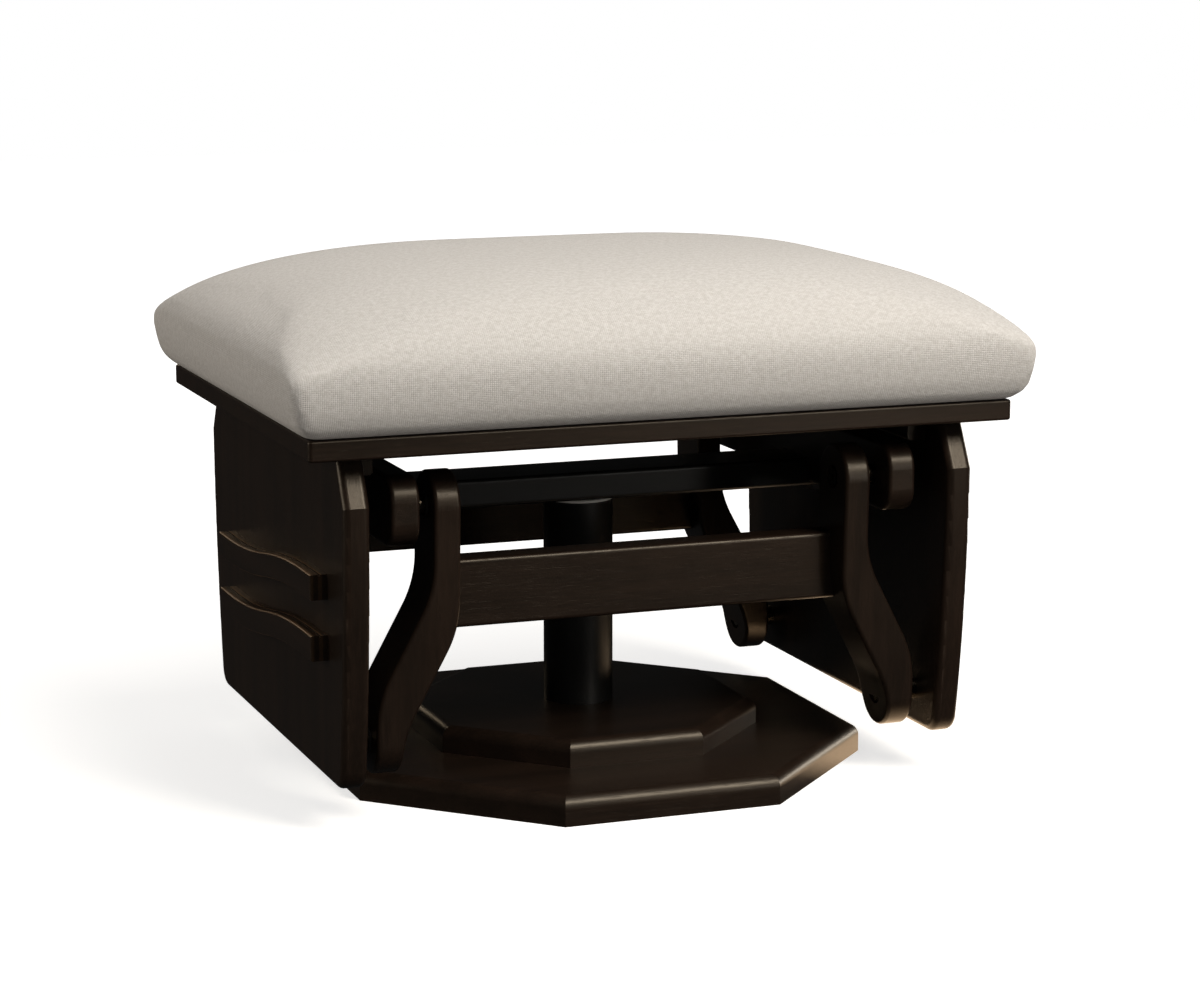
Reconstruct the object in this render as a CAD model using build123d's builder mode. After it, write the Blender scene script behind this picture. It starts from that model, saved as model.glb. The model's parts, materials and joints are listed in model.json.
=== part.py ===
from build123d import *

import math
import os

# Glider ottoman on a pedestal: an eight-sided stepped base and a round post carry a
# crossbar with two side rails. Two swing frames hang from the rails and carry the seat.
# Millimetres. +X is the sitter's left-to-right width, -Y the front, +Z up.
# The origin is on the floor under the middle of the post.

# ---- driving dimensions --------------------------------------------------------------

# seat and cushion
seat_width = 540.0
seat_depth = 402.0
seat_board_thickness = 15.5
seat_underside = 277.0
seat_edge_round = 2.0
seat_corner = 3.0
cushion_rise = 104.0
cushion_overhang_x = 13.5
cushion_overhang_y = 14.5
cushion_widest_height = 41.0
cushion_corner = 11.0
cushion_foot_inset = 17.5
cushion_foot_corner = 8.0
cushion_low_height = 13.5
cushion_low_inset = 4.5
cushion_low_corner = 10.0
cushion_board_thickness = 6.0
cushion_board_inset = 20.0

# side panels
panel_inner_x = 223.5
panel_thickness = 19.5
panel_bottom = 33.5
panel_widest_half = 192.0
panel_widest_height = 241.5
panel_top_half = 173.0
panel_bottom_half = 174.0
panel_corner = 16.0
panel_edge_round = 5.0
cleat_width = 14.0
cleat_height = 20.0
cleat_length = 300.0
cleat_chamfer = 2.0

# wavy strips on the side panels
wave_thickness = 12.7
wave_height = 18.5
wave_rise = 18.3
wave_run = 220.0
wave_front_flat = 23.0
wave_back_flat = 26.0
wave_front_y = -145.0
wave_top_upper = 186.8
wave_pitch = 44.5
wave_groove_width = 1.4
wave_groove_depth = 1.2
wave_groove_from_face = 5.0
wave_edge_round = 1.5

# linkage
pivot_upper_y = 145.0
pivot_upper_z = 232.5
pivot_lower_y = 137.0
pivot_lower_z = 61.0
arm_inner_x = 150.0
arm_thickness = 20.3
arm_offset = 42.0
arm_lobe = 25.0
arm_bend_radius = 80.0
arm_bend_angle = 28.0
arm_inner_bend_z = 164.0
arm_outer_bend_z = 192.0
arm_edge_round = 3.0
stretcher_thickness = 24.5
stretcher_height = 50.5
stretcher_bottom = 139.2
stretcher_set_in = 1.7
stretcher_edge_round = 3.0

# side rails and crossbar
rail_inner_x = 182.5
rail_thickness = 21.5
rail_half_length = 176.0
rail_height = 51.0
rail_end_round = 18.0
rail_edge_round = 3.0
crossbar_width = 54.0
crossbar_height = 22.0
crossbar_wall = 2.5
crossbar_corner = 3.0
crossbar_bore_corner = 1.0
crossbar_bottom = 203.5
end_cap_depth = 5.5

# base and post
plate_sides = 8
lower_plate_flats = 407.0
lower_plate_thickness = 22.0
upper_plate_flats = 258.0
upper_plate_thickness = 20.0
plate_edge_round = 9.0
post_radius = 27.0
post_wall = 3.0
foot_flange_radius = 60.0
foot_flange_thickness = 5.0
spindle_radius = 15.0
spindle_bottom = 62.0
spindle_chamfer = 1.0
bearing_length = 26.0
bearing_flange = 1.5
lower_bearing_bottom = 70.0
thrust_washer_thickness = 2.0
thrust_washer_chamfer = 0.6
ring_thickness = 1.5
ring_width = 4.0

# pivot hardware
shoulder_radius = 4.0
thread_radius = 3.0
bolt_head_radius = 6.5
bolt_head_thickness = 3.5
hex_key_size = 4.0
hex_key_depth = 2.0
recess_radius = 9.0
recess_depth = 4.0
bush_radius = 7.0
bush_flange_radius = 10.0
bush_flange_thickness = 1.5
spacer_radius = 8.0
insert_radius = 5.0
insert_length = 12.0

# screws, dowels and pins
crossbar_bolt_radius = 4.0
crossbar_bolt_head_width = 13.0
crossbar_bolt_head_height = 5.3
crossbar_bolt_pitch = 28.0
crossbar_bolt_reach = 20.0
crossbar_insert_radius = 5.5
crossbar_insert_length = 18.0
wood_screw_radius = 2.5
wood_screw_head_radius = 5.0
small_screw_radius = 2.0
small_screw_head_radius = 4.0
base_screw_count = 4
base_screw_circle = 95.0
base_screw_sink = 0.5
base_screw_bite = 14.0
flange_screw_count = 4
flange_screw_circle = 45.0
flange_screw_bite = 12.0
cleat_screw_pitch = 200.0
cleat_screw_bite = 12.0
seat_screw_pitch = 120.0
seat_screw_bite = 11.0
dowel_radius = 4.0
dowel_length = 32.0
dowel_in_arm = 13.0
dowel_pitch = 25.0
wave_pin_radius = 2.5
wave_pin_length = 18.0
wave_pin_in_panel = 10.0
wave_pin_span = 190.0
cushion_screw_x = 170.0
cushion_screw_y = 120.0

# clearances
glue_fit = 0.05
running_fit = 0.05
running_gap = 0.2
open_pivot_fit = 0.6
hole_end_gap = 1.0
soft_gap = 0.3
overcut = 1.0

# ---- derived places ------------------------------------------------------------------

seat_top = seat_underside + seat_board_thickness
panel_outer_x = panel_inner_x + panel_thickness
rail_outer_x = rail_inner_x + rail_thickness
rail_middle_x = rail_inner_x + rail_thickness / 2
rail_bottom = pivot_upper_z - rail_height / 2
crossbar_top = crossbar_bottom + crossbar_height
base_top = lower_plate_thickness + upper_plate_thickness
post_top = crossbar_bottom - running_gap - thrust_washer_thickness - bearing_flange
post_bore = post_radius - post_wall
arm_low_inner_x = arm_inner_x + arm_offset
upper_gap_x = arm_inner_x + arm_thickness
lower_gap_x = arm_low_inner_x + arm_thickness
front = -1
rear = 1
up = (0, 0, 1)
down = (0, 0, -1)

os.makedirs("parts", exist_ok=True)


def finish(builder, name):
    """Label a finished piece and write it under its node's name."""
    builder.part.label = name
    export_step(builder.part, f"parts/{name}.step")


def tube_x(x_from, x_to, y, z, radius, mode=Mode.ADD):
    """A round bar along X between two places."""
    with BuildSketch(Plane.YZ.offset(x_from)) as end_face:
        with Locations((y, z)):
            Circle(radius)
    extrude(end_face.sketch, amount=x_to - x_from, mode=mode)


def tube_z(z_from, z_to, x, y, radius, mode=Mode.ADD):
    """A round bar along Z between two places."""
    with BuildSketch(Plane.XY.offset(z_from)) as end_face:
        with Locations((x, y)):
            Circle(radius)
    extrude(end_face.sketch, amount=z_to - z_from, mode=mode)


def screw_form(start, way, radius, head_radius, length, fit=0.0, mode=Mode.ADD):
    """A countersunk screw from the middle of its head's face, or with a fit its hole."""
    run = Vector(way)
    across = Vector(0, 1, 0)
    with BuildSketch(Plane(start, x_dir=across, z_dir=across.cross(run))) as profile:
        with BuildLine():
            Polyline(
                (0, 0),
                (head_radius + fit, 0),
                (radius + fit, head_radius - radius),
                (radius + fit, length),
                (0, length),
                close=True,
            )
        make_face()
    revolve(profile.sketch, axis=Axis(start, run), mode=mode)


def ring_spots(circle, count, first_angle):
    """Places spread evenly on a circle about the post."""
    angles = [math.radians(first_angle + 360 * turn / count) for turn in range(count)]
    return [(circle * math.cos(angle), circle * math.sin(angle)) for angle in angles]


def octagon_plate(flats, bottom, thickness):
    """An eight-sided plate with a flat to the front and a rounded upper edge."""
    with BuildSketch(Plane.XY.offset(bottom)) as outline:
        RegularPolygon(flats / 2, plate_sides, major_radius=False, rotation=180 / plate_sides)
    plate = extrude(outline.sketch, amount=thickness)
    fillet(plate.faces().sort_by(Axis.Z)[-1].edges(), plate_edge_round)


# ---- base ----------------------------------------------------------------------------

base_screw_spots = ring_spots(base_screw_circle, base_screw_count, 0)
base_screw_length = lower_plate_thickness + base_screw_bite - base_screw_sink
flange_screw_spots = ring_spots(flange_screw_circle, flange_screw_count, 45)
flange_screw_length = foot_flange_thickness + flange_screw_bite
flange_bottom = lower_plate_thickness - foot_flange_thickness

with BuildPart() as base_plate_lower:
    octagon_plate(lower_plate_flats, 0, lower_plate_thickness)
    # seat of the post's foot flange, with the pilot holes of its screws
    flange_fit = foot_flange_radius + glue_fit
    tube_z(flange_bottom, lower_plate_thickness, 0, 0, flange_fit, Mode.SUBTRACT)
    for x, y in flange_screw_spots:
        hole_bottom = flange_bottom - flange_screw_bite - hole_end_gap
        tube_z(hole_bottom, flange_bottom, x, y, wood_screw_radius + glue_fit, Mode.SUBTRACT)
    # countersunk holes of the screws that hold the upper plate
    for x, y in base_screw_spots:
        screw_form(
            (x, y, 0),
            up,
            wood_screw_radius,
            wood_screw_head_radius + base_screw_sink,
            lower_plate_thickness,
            glue_fit,
            Mode.SUBTRACT,
        )
finish(base_plate_lower, "base_plate_lower")

with BuildPart() as base_plate_upper:
    octagon_plate(upper_plate_flats, lower_plate_thickness, upper_plate_thickness)
    tube_z(lower_plate_thickness, base_top, 0, 0, post_radius + glue_fit, Mode.SUBTRACT)
    for x, y in base_screw_spots:
        hole_top = lower_plate_thickness + base_screw_bite + hole_end_gap
        tube_z(lower_plate_thickness, hole_top, x, y, wood_screw_radius + glue_fit, Mode.SUBTRACT)
finish(base_plate_upper, "base_plate_upper")

with BuildPart() as base_screws:
    for x, y in base_screw_spots:
        screw_form(
            (x, y, base_screw_sink), up, wood_screw_radius, wood_screw_head_radius, base_screw_length
        )
finish(base_screws, "base_screws")

with BuildPart() as foot_flange:
    with BuildSketch(Plane.XY.offset(flange_bottom)):
        Circle(foot_flange_radius)
        Circle(post_radius + glue_fit, mode=Mode.SUBTRACT)
    extrude(amount=foot_flange_thickness)
    for x, y in flange_screw_spots:
        screw_form(
            (x, y, lower_plate_thickness),
            down,
            wood_screw_radius,
            wood_screw_head_radius,
            foot_flange_thickness,
            glue_fit,
            Mode.SUBTRACT,
        )
finish(foot_flange, "foot_flange")

with BuildPart() as flange_screws:
    for x, y in flange_screw_spots:
        screw_form(
            (x, y, lower_plate_thickness),
            down,
            wood_screw_radius,
            wood_screw_head_radius,
            flange_screw_length,
        )
finish(flange_screws, "flange_screws")

# ---- post and swivel -----------------------------------------------------------------

with BuildPart() as post_tube:
    with BuildSketch(Plane.XY.offset(flange_bottom)):
        Circle(post_radius)
        Circle(post_bore, mode=Mode.SUBTRACT)
    extrude(amount=post_top - flange_bottom)
finish(post_tube, "post_tube")

with BuildPart() as upper_bearing:
    # a flanged sleeve: the flange rests on the post's rim
    with BuildSketch(Plane.XY.offset(post_top - bearing_length)):
        Circle(post_bore - glue_fit)
        Circle(spindle_radius + running_fit, mode=Mode.SUBTRACT)
    extrude(amount=bearing_length)
    with BuildSketch(Plane.XY.offset(post_top)):
        Circle(post_radius)
        Circle(spindle_radius + running_fit, mode=Mode.SUBTRACT)
    extrude(amount=bearing_flange)
finish(upper_bearing, "upper_bearing")

with BuildPart() as lower_bearing:
    with BuildSketch(Plane.XY.offset(lower_bearing_bottom)):
        Circle(post_bore - glue_fit)
        Circle(spindle_radius + running_fit, mode=Mode.SUBTRACT)
    extrude(amount=bearing_length)
finish(lower_bearing, "lower_bearing")

with BuildPart() as thrust_washer:
    with BuildSketch(Plane.XY.offset(post_top + bearing_flange)):
        Circle(post_radius)
        Circle(spindle_radius + running_fit, mode=Mode.SUBTRACT)
    washer = extrude(amount=thrust_washer_thickness)
    chamfer(washer.faces().sort_by(Axis.Z)[-1].outer_wire().edges(), thrust_washer_chamfer)
finish(thrust_washer, "thrust_washer")

ring_top = lower_bearing_bottom - running_gap
ring_bottom = ring_top - ring_thickness

with BuildPart() as spindle:
    tube_z(spindle_bottom, crossbar_top - crossbar_wall, 0, 0, spindle_radius)
    chamfer(spindle.faces().sort_by(Axis.Z)[0].edges(), spindle_chamfer)
    # groove of the retaining ring
    with BuildSketch(Plane.XY.offset(ring_bottom - glue_fit)):
        Circle(spindle_radius + overcut)
        Circle(spindle_radius - ring_width / 2, mode=Mode.SUBTRACT)
    extrude(amount=ring_thickness + 2 * glue_fit, mode=Mode.SUBTRACT)
finish(spindle, "spindle")

with BuildPart() as retaining_ring:
    with BuildSketch(Plane.XY.offset(ring_bottom)):
        Circle(spindle_radius + ring_width / 2)
        Circle(spindle_radius - ring_width / 2 + glue_fit, mode=Mode.SUBTRACT)
        # the ring is open at the back, where it is sprung into its groove
        with Locations((0, spindle_radius)):
            Rectangle(2 * ring_width, 2 * ring_width, mode=Mode.SUBTRACT)
    extrude(amount=ring_thickness)
finish(retaining_ring, "retaining_ring")

# ---- crossbar ------------------------------------------------------------------------

crossbar_bolt_spots = [
    (side * rail_middle_x, row * crossbar_bolt_pitch / 2) for side in (-1, 1) for row in (-1, 1)
]
crossbar_middle_z = crossbar_bottom + crossbar_height / 2
bore_width = crossbar_width - 2 * crossbar_wall
bore_height = crossbar_height - 2 * crossbar_wall

with BuildPart() as crossbar:
    with BuildSketch(Plane.YZ.offset(-rail_outer_x)):
        with Locations((0, crossbar_middle_z)):
            RectangleRounded(crossbar_width, crossbar_height, crossbar_corner)
            RectangleRounded(bore_width, bore_height, crossbar_bore_corner, mode=Mode.SUBTRACT)
    extrude(amount=2 * rail_outer_x)
    with BuildSketch(Plane.XY.offset(crossbar_bottom)):
        with Locations(*crossbar_bolt_spots):
            Circle(crossbar_bolt_radius + glue_fit)
    extrude(amount=crossbar_height, mode=Mode.SUBTRACT)
    tube_z(crossbar_bottom, crossbar_middle_z, 0, 0, spindle_radius + glue_fit, Mode.SUBTRACT)
finish(crossbar, "crossbar")

with BuildPart() as crossbar_end_caps:
    cap_width = bore_width - 2 * glue_fit
    cap_height = bore_height - 2 * glue_fit
    for side in (-1, 1):
        with BuildSketch(Plane.YZ.offset(side * rail_outer_x)):
            with Locations((0, crossbar_middle_z)):
                RectangleRounded(cap_width, cap_height, crossbar_bore_corner)
        extrude(amount=-side * end_cap_depth)
finish(crossbar_end_caps, "crossbar_end_caps")

with BuildPart() as crossbar_bolts:
    with BuildSketch(Plane.XY.offset(crossbar_bottom)):
        with Locations(*crossbar_bolt_spots):
            RegularPolygon(crossbar_bolt_head_width / 2, 6, major_radius=False)
    extrude(amount=-crossbar_bolt_head_height)
    with BuildSketch(Plane.XY.offset(crossbar_bottom)):
        with Locations(*crossbar_bolt_spots):
            Circle(crossbar_bolt_radius)
    extrude(amount=crossbar_height + crossbar_bolt_reach)
finish(crossbar_bolts, "crossbar_bolts")

with BuildPart() as crossbar_inserts:
    with BuildSketch(Plane.XY.offset(crossbar_top)):
        with Locations(*crossbar_bolt_spots):
            Circle(crossbar_insert_radius)
            Circle(crossbar_bolt_radius + glue_fit, mode=Mode.SUBTRACT)
    extrude(amount=crossbar_insert_length)
finish(crossbar_inserts, "crossbar_inserts")

# ---- side rails ----------------------------------------------------------------------

with BuildPart() as rail_right:
    with BuildSketch(Plane.YZ.offset(rail_inner_x)):
        with Locations((0, pivot_upper_z)):
            RectangleRounded(2 * rail_half_length, rail_height, rail_end_round)
    extrude(amount=rail_thickness)
    fillet(rail_right.faces().filter_by(Axis.X).edges(), rail_edge_round)
    # the notch that sits over the crossbar
    with BuildSketch(Plane.YZ.offset(rail_inner_x)):
        with Locations((0, rail_bottom)):
            Rectangle(
                crossbar_width + 2 * glue_fit,
                crossbar_top - rail_bottom,
                align=(Align.CENTER, Align.MIN),
            )
    extrude(amount=rail_thickness, mode=Mode.SUBTRACT)
    for x, y in crossbar_bolt_spots[2:]:
        hole_top = crossbar_top + crossbar_bolt_reach + hole_end_gap
        tube_z(crossbar_top, hole_top, x, y, crossbar_insert_radius + glue_fit, Mode.SUBTRACT)
    for end in (front, rear):
        insert_end = rail_inner_x + insert_length + hole_end_gap
        tube_x(
            rail_inner_x,
            insert_end,
            end * pivot_upper_y,
            pivot_upper_z,
            insert_radius + glue_fit,
            Mode.SUBTRACT,
        )
finish(rail_right, "rail_right")

with BuildPart() as rail_left:
    mirror(rail_right.part, about=Plane.YZ)
finish(rail_left, "rail_left")

# ---- swing arms ----------------------------------------------------------------------


def s_curve(x_top, z_bend, z_top, z_bottom):
    """One long edge of the arm: straight, swept outward by the arm's offset, straight."""
    bend = math.radians(arm_bend_angle)
    slope = (arm_offset - 2 * arm_bend_radius * (1 - math.cos(bend))) / math.sin(bend)
    head = Line((x_top, z_top), (x_top, z_bend))
    out = JernArc(head @ 1, (0, -1), arm_bend_radius, arm_bend_angle)
    middle = PolarLine(out @ 1, slope, -90 + arm_bend_angle)
    back = JernArc(middle @ 1, middle % 1, arm_bend_radius, -arm_bend_angle)
    Line(back @ 1, (x_top + arm_offset, z_bottom))


def arm_front_view():
    """The right-hand arm as seen from the front, taller than the arm."""
    z_top = pivot_upper_z + arm_lobe + overcut
    z_bottom = pivot_lower_z - arm_lobe - overcut
    with BuildSketch(Plane.XZ) as view:
        with BuildLine():
            s_curve(arm_inner_x, arm_inner_bend_z, z_top, z_bottom)
            s_curve(upper_gap_x, arm_outer_bend_z, z_top, z_bottom)
            Line((arm_inner_x, z_top), (upper_gap_x, z_top))
            Line((arm_low_inner_x, z_bottom), (lower_gap_x, z_bottom))
        make_face()
    return view.sketch


def arm_side_view(end):
    """The arm as seen from the side: two round lobes about the pivots, joined by flats."""
    with BuildSketch(Plane.YZ) as view:
        with Locations((end * pivot_upper_y, pivot_upper_z), (end * pivot_lower_y, pivot_lower_z)):
            Circle(arm_lobe)
        make_hull()
    return view.sketch


def dowel_spots(stretcher_y):
    """Heights of the two dowels at each end of a stretcher, with its middle plane."""
    middle_z = stretcher_bottom + stretcher_height / 2
    return [(stretcher_y, middle_z - dowel_pitch / 2), (stretcher_y, middle_z + dowel_pitch / 2)]


def arm_form(end, stretcher_y, bush_fit):
    """Make the right-hand arm of the front or rear swing frame in the active builder."""
    extrude(arm_front_view(), amount=pivot_upper_y + 2 * arm_lobe, both=True)
    extrude(arm_side_view(end), amount=lower_gap_x + overcut, mode=Mode.INTERSECT)
    seams = edges().filter_by(Axis.X) + edges().filter_by(Axis.Y)
    fillet([edge for edge in edges() if edge not in seams], arm_edge_round)
    for y, z, inner_x in (
        (end * pivot_upper_y, pivot_upper_z, arm_inner_x),
        (end * pivot_lower_y, pivot_lower_z, arm_low_inner_x),
    ):
        outer_x = inner_x + arm_thickness
        tube_x(inner_x - overcut, outer_x + overcut, y, z, bush_fit, Mode.SUBTRACT)
        tube_x(inner_x - overcut, inner_x + recess_depth, y, z, recess_radius, Mode.SUBTRACT)
    for y, z in dowel_spots(stretcher_y):
        tube_x(
            arm_inner_x - overcut,
            arm_inner_x + dowel_in_arm + hole_end_gap,
            y,
            z,
            dowel_radius + glue_fit,
            Mode.SUBTRACT,
        )


def stretcher_form(stretcher_y):
    """Make a stretcher whose ends follow the arms' inner faces in the active builder."""
    with BuildSketch(Plane.XZ.offset(-stretcher_y)) as face:
        with Locations((0, stretcher_bottom + stretcher_height / 2)):
            Rectangle(2 * arm_inner_x + arm_thickness, stretcher_height)
    bar = extrude(face.sketch, amount=stretcher_thickness / 2, both=True)
    fillet(bar.edges().filter_by(Axis.X), stretcher_edge_round)
    extrude(arm_front_view(), amount=2 * pivot_upper_y, both=True, mode=Mode.SUBTRACT)
    extrude(
        mirror(arm_front_view(), about=Plane.YZ, mode=Mode.PRIVATE),
        amount=2 * pivot_upper_y,
        both=True,
        mode=Mode.SUBTRACT,
    )
    for side in (-1, 1):
        for y, z in dowel_spots(stretcher_y):
            tube_x(
                side * (arm_inner_x + dowel_in_arm - dowel_length - hole_end_gap),
                side * (arm_inner_x + arm_thickness),
                y,
                z,
                dowel_radius + glue_fit,
                Mode.SUBTRACT,
            )


def dowel_form(stretcher_y):
    """Make the four dowels between a stretcher and its arms in the active builder."""
    for side in (-1, 1):
        for y, z in dowel_spots(stretcher_y):
            dowel_end = arm_inner_x + dowel_in_arm
            tube_x(side * (dowel_end - dowel_length), side * dowel_end, y, z, dowel_radius)


# at both ends the stretcher lies on the arm's rear half
arm_middle_y = pivot_upper_y + (pivot_lower_y - pivot_upper_y) * (
    pivot_upper_z - stretcher_bottom - stretcher_height / 2
) / (pivot_upper_z - pivot_lower_z)
stretcher_from_middle = arm_lobe - stretcher_thickness / 2 - stretcher_set_in
front_stretcher_y = -arm_middle_y + stretcher_from_middle
rear_stretcher_y = arm_middle_y + stretcher_from_middle
bush_bore = bush_radius + glue_fit

with BuildPart() as front_arm_right:
    arm_form(front, front_stretcher_y, bush_bore)
finish(front_arm_right, "front_arm_right")

with BuildPart() as front_arm_left:
    mirror(front_arm_right.part, about=Plane.YZ)
finish(front_arm_left, "front_arm_left")

with BuildPart() as rear_arm_right:
    arm_form(rear, rear_stretcher_y, bush_bore)
finish(rear_arm_right, "rear_arm_right")

with BuildPart() as rear_arm_left:
    mirror(rear_arm_right.part, about=Plane.YZ)
finish(rear_arm_left, "rear_arm_left")

with BuildPart() as front_stretcher:
    stretcher_form(front_stretcher_y)
finish(front_stretcher, "front_stretcher")

with BuildPart() as rear_stretcher:
    stretcher_form(rear_stretcher_y)
finish(rear_stretcher, "rear_stretcher")

with BuildPart() as front_dowels:
    dowel_form(front_stretcher_y)
finish(front_dowels, "front_dowels")

with BuildPart() as rear_dowels:
    dowel_form(rear_stretcher_y)
finish(rear_dowels, "rear_dowels")

# ---- pivot hardware ------------------------------------------------------------------


def bush_form(inner_x, y, z, bore_fit):
    """A flanged sleeve in each arm's bore, left and right."""
    for side in (-1, 1):
        tube_x(side * (inner_x + recess_depth), side * (inner_x + arm_thickness), y, z, bush_radius)
        flange_x = inner_x + arm_thickness
        tube_x(side * flange_x, side * (flange_x + bush_flange_thickness), y, z, bush_flange_radius)
    tube_x(
        -inner_x - arm_thickness - bush_flange_thickness,
        inner_x + arm_thickness + bush_flange_thickness,
        y,
        z,
        shoulder_radius + bore_fit,
        Mode.SUBTRACT,
    )


def bolt_form(inner_x, wall_x, y, z):
    """A shoulder bolt on each side: head in the arm's recess, thread in the wall's insert."""
    head_x = inner_x + recess_depth - running_gap
    for side in (-1, 1):
        tube_x(side * (head_x - bolt_head_thickness), side * head_x, y, z, bolt_head_radius)
        tube_x(side * head_x, side * wall_x, y, z, shoulder_radius)
        tube_x(side * wall_x, side * (wall_x + insert_length), y, z, thread_radius)
        with BuildSketch(Plane.YZ.offset(side * (head_x - bolt_head_thickness))) as key:
            with Locations((y, z)):
                RegularPolygon(hex_key_size / 2, 6, major_radius=False)
        extrude(key.sketch, amount=side * hex_key_depth, mode=Mode.SUBTRACT)


def spacer_form(gap_x, wall_x, y, z):
    """A sleeve on each bolt's shoulder between the arm's bush and the wall."""
    near_x = gap_x + bush_flange_thickness + running_gap
    for side in (-1, 1):
        tube_x(side * near_x, side * wall_x, y, z, spacer_radius)
    tube_x(-wall_x, wall_x, y, z, shoulder_radius + glue_fit, Mode.SUBTRACT)


def insert_form(wall_x, y, z):
    """A threaded sleeve in each wall, left and right."""
    for side in (-1, 1):
        tube_x(side * wall_x, side * (wall_x + insert_length), y, z, insert_radius)
    far_x = wall_x + insert_length
    tube_x(-far_x, far_x, y, z, thread_radius + glue_fit, Mode.SUBTRACT)


with BuildPart() as front_upper_bushes:
    bush_form(arm_inner_x, front * pivot_upper_y, pivot_upper_z, running_fit)
finish(front_upper_bushes, "front_upper_bushes")

with BuildPart() as rear_upper_bushes:
    bush_form(arm_inner_x, rear * pivot_upper_y, pivot_upper_z, running_fit)
finish(rear_upper_bushes, "rear_upper_bushes")

with BuildPart() as front_lower_bushes:
    bush_form(arm_low_inner_x, front * pivot_lower_y, pivot_lower_z, running_fit)
finish(front_lower_bushes, "front_lower_bushes")

with BuildPart() as rear_lower_bushes:
    bush_form(arm_low_inner_x, rear * pivot_lower_y, pivot_lower_z, open_pivot_fit)
finish(rear_lower_bushes, "rear_lower_bushes")

with BuildPart() as upper_pivot_bolts:
    for end in (front, rear):
        bolt_form(arm_inner_x, rail_inner_x, end * pivot_upper_y, pivot_upper_z)
finish(upper_pivot_bolts, "upper_pivot_bolts")

with BuildPart() as lower_pivot_bolts:
    for end in (front, rear):
        bolt_form(arm_low_inner_x, panel_inner_x, end * pivot_lower_y, pivot_lower_z)
finish(lower_pivot_bolts, "lower_pivot_bolts")

with BuildPart() as upper_pivot_spacers:
    for end in (front, rear):
        spacer_form(upper_gap_x, rail_inner_x, end * pivot_upper_y, pivot_upper_z)
finish(upper_pivot_spacers, "upper_pivot_spacers")

with BuildPart() as lower_pivot_spacers:
    for end in (front, rear):
        spacer_form(lower_gap_x, panel_inner_x, end * pivot_lower_y, pivot_lower_z)
finish(lower_pivot_spacers, "lower_pivot_spacers")

with BuildPart() as rail_inserts:
    for end in (front, rear):
        insert_form(rail_inner_x, end * pivot_upper_y, pivot_upper_z)
finish(rail_inserts, "rail_inserts")

with BuildPart() as panel_inserts:
    for end in (front, rear):
        insert_form(panel_inner_x, end * pivot_lower_y, pivot_lower_z)
finish(panel_inserts, "panel_inserts")

# ---- side panels and their wavy strips -----------------------------------------------

wave_back_y = wave_front_y + wave_front_flat + wave_run + wave_back_flat
wave_bend_radius = (wave_run**2 + wave_rise**2) / (4 * wave_rise)
wave_tops = {"upper": wave_top_upper, "lower": wave_top_upper - wave_pitch}
wave_outer_x = panel_outer_x + wave_thickness
wave_middle_y = (wave_front_y + wave_back_y) / 2
wave_pin_ys = (wave_middle_y - wave_pin_span / 2, wave_middle_y + wave_pin_span / 2)


def wave_height_at(y, top):
    """Height of a wavy strip's upper edge at a place along the panel."""
    bend_from = wave_front_y + wave_front_flat
    run = min(max(y - bend_from, 0), wave_run)
    if run > wave_run / 2:
        rest = wave_run - run
        return top - wave_rise + wave_bend_radius - math.sqrt(wave_bend_radius**2 - rest**2)
    return top - wave_bend_radius + math.sqrt(wave_bend_radius**2 - run**2)


def wave_side_view(x, top, height):
    """A wavy strip from the side: flat, down through two equal arcs, flat."""
    bend = math.degrees(math.asin(wave_run / 2 / wave_bend_radius))
    low_top = top - wave_rise
    with BuildSketch(Plane.YZ.offset(x)) as view:
        with BuildLine():
            for edge_z in (top, top - height):
                crest = Line((wave_front_y, edge_z), (wave_front_y + wave_front_flat, edge_z))
                fall = JernArc(crest @ 1, (1, 0), wave_bend_radius, -bend)
                foot = JernArc(fall @ 1, fall % 1, wave_bend_radius, bend)
                Line(foot @ 1, (wave_back_y, edge_z - wave_rise))
            Line((wave_front_y, top), (wave_front_y, top - height))
            Line((wave_back_y, low_top), (wave_back_y, low_top - height))
        make_face()
    return view.sketch


def wave_form(top):
    """Make a right-hand wavy strip with its groove and pin holes in the active builder."""
    strip = extrude(wave_side_view(panel_outer_x, top, wave_height), amount=wave_thickness)
    outer = strip.faces().sort_by(Axis.X)[-1]
    fillet(outer.edges(), wave_edge_round)
    groove = wave_side_view(panel_outer_x + wave_groove_from_face, top, wave_groove_depth)
    extrude(groove, amount=wave_groove_width, mode=Mode.SUBTRACT)
    pin_end = panel_outer_x - wave_pin_in_panel + wave_pin_length + hole_end_gap
    for y in wave_pin_ys:
        z = wave_height_at(y, top) - wave_height / 2
        tube_x(panel_outer_x, pin_end, y, z, wave_pin_radius + glue_fit, Mode.SUBTRACT)


cleat_screw_ys = (-cleat_screw_pitch / 2, cleat_screw_pitch / 2)
seat_screw_ys = (-seat_screw_pitch, 0.0, seat_screw_pitch)
cleat_middle_x = panel_inner_x - cleat_width / 2
cleat_inner_x = panel_inner_x - cleat_width
cleat_middle_z = seat_underside - cleat_height / 2
cleat_bottom = seat_underside - cleat_height

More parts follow.
